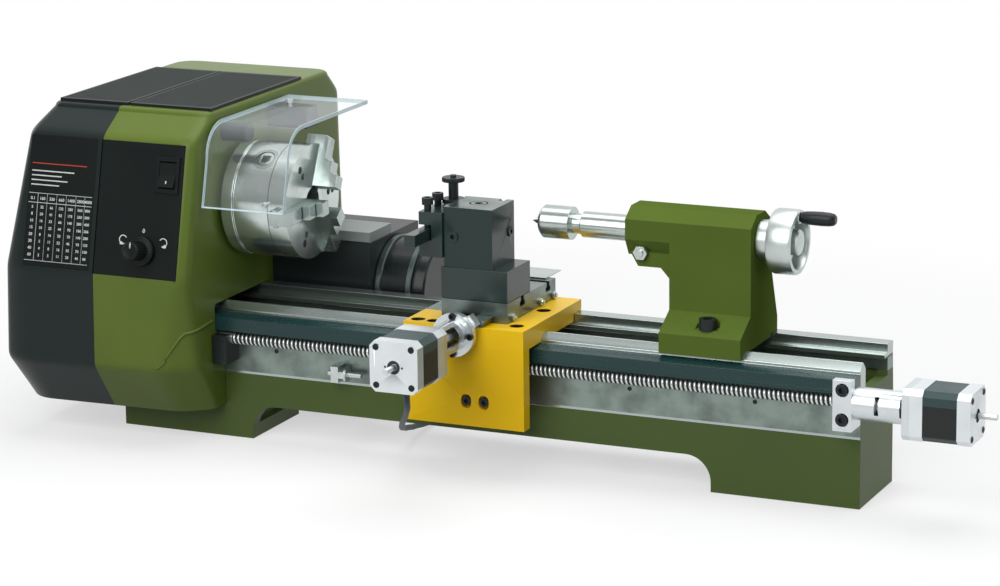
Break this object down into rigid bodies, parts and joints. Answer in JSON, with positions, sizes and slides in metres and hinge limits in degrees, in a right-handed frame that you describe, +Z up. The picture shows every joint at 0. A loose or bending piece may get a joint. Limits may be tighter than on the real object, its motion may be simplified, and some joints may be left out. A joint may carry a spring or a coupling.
{
  "type": "small precision lathe",
  "caption": "Bench metalworking lathe with a bed, headstock under a moulded hood, chuck, guard, carriage, tool post, tailstock and stepper motors on both screws.",
  "frame": {"origin": "centre of the four bench bolt holes, in the plane of the feet", "axes": "+X along the bed to the tailstock, +Y to the back, +Z up"},
  "size_m": [0.876, 0.418, 0.2915],
  "materials": {
    "green_paint": "satin paint",
    "hood_green": "glossy moulding",
    "cover_green": "glossy dark moulding",
    "ground_steel": "ground",
    "turned_steel": "turned",
    "dark_iron": "cast, machined faces",
    "vent_plastic": "moulded",
    "black_plastic": "moulded",
    "plate": "printed plate",
    "rubber_belt": "belt",
    "black_metal": "black oxide and black paint",
    "lid_grey": "satin paint",
    "clear": "clear sheet",
    "yellow_paint": "gloss paint",
    "bronze": "machined bronze",
    "slide_grey": "ground",
    "post_teal": "blackened steel",
    "aluminium": "machined",
    "cable": "cable jacket",
    "plug_white": "moulded"
  },
  "bodies": {
    "base": {"bed": "green_paint", "ways": "ground_steel", "head_casting": "dark_iron", "spindle_bearings": "turned_steel", "hood": "hood_green", "belt_cover": "cover_green", "vents": "vent_plastic", "control_panel": "black_plastic", "speed_plate": "plate", "drive_belt": "rubber_belt", "drive_housing": "black_metal", "housing_lid": "lid_grey", "drive_motor": "black_metal", "guard_rest": "black_metal", "screw_blocks": "aluminium", "block_screws": "black_metal", "motor_mount": "aluminium", "bed_motor": "aluminium", "limit_stop": "turned_steel"},
    "rocker": {"rocker": "black_plastic"},
    "selector_knob": {"selector_knob": "black_plastic"},
    "spindle": {"spindle": "turned_steel", "backplate": "turned_steel", "chuck_body": "turned_steel"},
    "motor_shaft": {"motor_shaft": "turned_steel"},
    "scroll": {"scroll": "turned_steel"},
    "pinion": {"pinion": "turned_steel"},
    "jaw_1": {"jaw_1": "turned_steel"},
    "jaw_2": {"jaw_2": "turned_steel"},
    "jaw_3": {"jaw_3": "turned_steel"},
    "guard": {"guard": "clear", "guard_block": "black_metal", "guard_screws": "black_metal"},
    "carriage": {"saddle": "yellow_paint", "apron": "yellow_paint", "apron_screws": "black_metal", "lead_nut": "bronze", "cross_motor_mount": "aluminium", "cross_motor": "aluminium", "motor_cable": "cable", "cable_coil": "cable", "cable_plug": "plug_white"},
    "leadscrew": {"leadscrew": "turned_steel"},
    "cross_slide": {"cross_slide": "slide_grey", "gib_screws": "turned_steel", "rear_cover": "turned_steel", "riser": "post_teal", "tool_post": "post_teal"},
    "cross_screw": {"cross_screw": "turned_steel"},
    "tool_holder": {"tool_holder": "post_teal", "holder_screws": "black_metal", "cutting_tool": "post_teal"},
    "height_nut": {"height_nut": "black_metal"},
    "tailstock": {"tailstock": "green_paint"},
    "clamp_bolt": {"clamp_bolt": "black_metal"},
    "quill": {"quill": "turned_steel"},
    "handwheel": {"handwheel": "turned_steel"},
    "crank_handle": {"crank_handle": "black_plastic"},
    "live_centre": {"live_centre": "turned_steel"},
    "lock_nut": {"lock_nut": "turned_steel"}
  },
  "joints": [
    {"name": "rocker_tilt", "type": "hinge", "parent": "base", "child": "rocker", "pos_m": [-0.26, -0.08939, 0.23916], "axis": [1, 0, 0], "range_deg": [-8, 8]},
    {"name": "selector_turn", "type": "hinge", "parent": "base", "child": "selector_knob", "pos_m": [-0.2795, -0.10675, 0.17542], "axis": [0, -0.9758, 0.2187], "range_deg": [-45, 45]},
    {"name": "spindle_spin", "type": "hinge", "parent": "base", "child": "spindle", "pos_m": [-0.2, 0, 0.206], "axis": [1, 0, 0], "continuous": true},
    {"name": "motor_spin", "type": "hinge", "parent": "base", "child": "motor_shaft", "pos_m": [-0.2, 0.1, 0.112], "axis": [1, 0, 0], "continuous": true},
    {"name": "scroll_turn", "type": "hinge", "parent": "spindle", "child": "scroll", "pos_m": [-0.188, 0, 0.206], "axis": [1, 0, 0], "range_deg": [-540, 1080]},
    {"name": "pinion_turn", "type": "hinge", "parent": "spindle", "child": "pinion", "pos_m": [-0.2006, -0.02581, 0.24286], "axis": [0, -0.5736, 0.8192], "range_deg": [-3300, 1700]},
    {"name": "jaw_1_slide", "type": "slide", "parent": "spindle", "child": "jaw_1", "axis": [0, 0.4226, 0.9063], "range_m": [-0.0076, 0.0151]},
    {"name": "jaw_2_slide", "type": "slide", "parent": "spindle", "child": "jaw_2", "axis": [0, -0.9962, -0.0872], "range_m": [-0.0076, 0.0151]},
    {"name": "jaw_3_slide", "type": "slide", "parent": "spindle", "child": "jaw_3", "axis": [0, 0.5736, -0.8192], "range_m": [-0.0076, 0.0151]},
    {"name": "guard_swing", "type": "hinge", "parent": "base", "child": "guard", "pos_m": [-0.22, 0.057, 0.2685], "axis": [-1, 0, 0], "range_deg": [0, 85]},
    {"name": "carriage_slide", "type": "slide", "parent": "base", "child": "carriage", "axis": [1, 0, 0], "range_m": [-0.095, 0.065]},
    {"name": "leadscrew_turn", "type": "hinge", "parent": "base", "child": "leadscrew", "pos_m": [0.05, -0.054, 0.092], "axis": [1, 0, 0], "range_deg": [-8640, 5940]},
    {"name": "cross_slide_feed", "type": "slide", "parent": "carriage", "child": "cross_slide", "axis": [0, 1, 0], "range_m": [-0.017, 0.04]},
    {"name": "cross_screw_turn", "type": "hinge", "parent": "carriage", "child": "cross_screw", "pos_m": [0.0045, -0.1, 0.1253], "axis": [0, 1, 0], "range_deg": [-6200, 14500]},
    {"name": "tool_height", "type": "slide", "parent": "cross_slide", "child": "tool_holder", "axis": [0, 0, 1], "range_m": [-0.007, 0.001]},
    {"name": "height_nut_turn", "type": "hinge", "parent": "cross_slide", "child": "height_nut", "pos_m": [-0.025, -0.0247, 0.235], "axis": [0, 0, 1], "range_deg": [-2550, 400]},
    {"name": "tailstock_slide", "type": "slide", "parent": "base", "child": "tailstock", "axis": [1, 0, 0], "range_m": [0, 0.095]},
    {"name": "clamp_bolt_turn", "type": "hinge", "parent": "tailstock", "child": "clamp_bolt", "pos_m": [0.2075, -0.0375, 0.14], "axis": [0, 0, 1], "range_deg": [0, 180]},
    {"name": "quill_slide", "type": "slide", "parent": "tailstock", "child": "quill", "axis": [1, 0, 0], "range_m": [0, 0.038]},
    {"name": "handwheel_turn", "type": "hinge", "parent": "tailstock", "child": "handwheel", "pos_m": [0.26, 0, 0.206], "axis": [1, 0, 0], "range_deg": [0, 9200]},
    {"name": "crank_spin", "type": "hinge", "parent": "handwheel", "child": "crank_handle", "pos_m": [0.29, 0, 0.227], "axis": [1, 0, 0], "continuous": true},
    {"name": "centre_spin", "type": "hinge", "parent": "quill", "child": "live_centre", "pos_m": [0.06, 0, 0.206], "axis": [1, 0, 0], "continuous": true},
    {"name": "lock_nut_turn", "type": "hinge", "parent": "tailstock", "child": "lock_nut", "pos_m": [0.144, -0.022, 0.192], "axis": [0, -1, 0], "range_deg": [0, 90]}
  ],
  "couplings": [
    {"joint": "motor_spin", "follows": "spindle_spin", "ratio": 2.4706},
    {"joint": "pinion_turn", "follows": "scroll_turn", "ratio": -3},
    {"joint": "jaw_1_slide", "follows": "scroll_turn", "m_per_rad": 0.000796},
    {"joint": "jaw_2_slide", "follows": "scroll_turn", "m_per_rad": 0.000796},
    {"joint": "jaw_3_slide", "follows": "scroll_turn", "m_per_rad": 0.000796},
    {"joint": "leadscrew_turn", "follows": "carriage_slide", "rad_per_m": 1570.8},
    {"joint": "cross_screw_turn", "follows": "cross_slide_feed", "rad_per_m": 6283.2},
    {"joint": "height_nut_turn", "follows": "tool_height", "rad_per_m": 6283.2},
    {"joint": "handwheel_turn", "follows": "quill_slide", "rad_per_m": 4188.8}
  ]
}
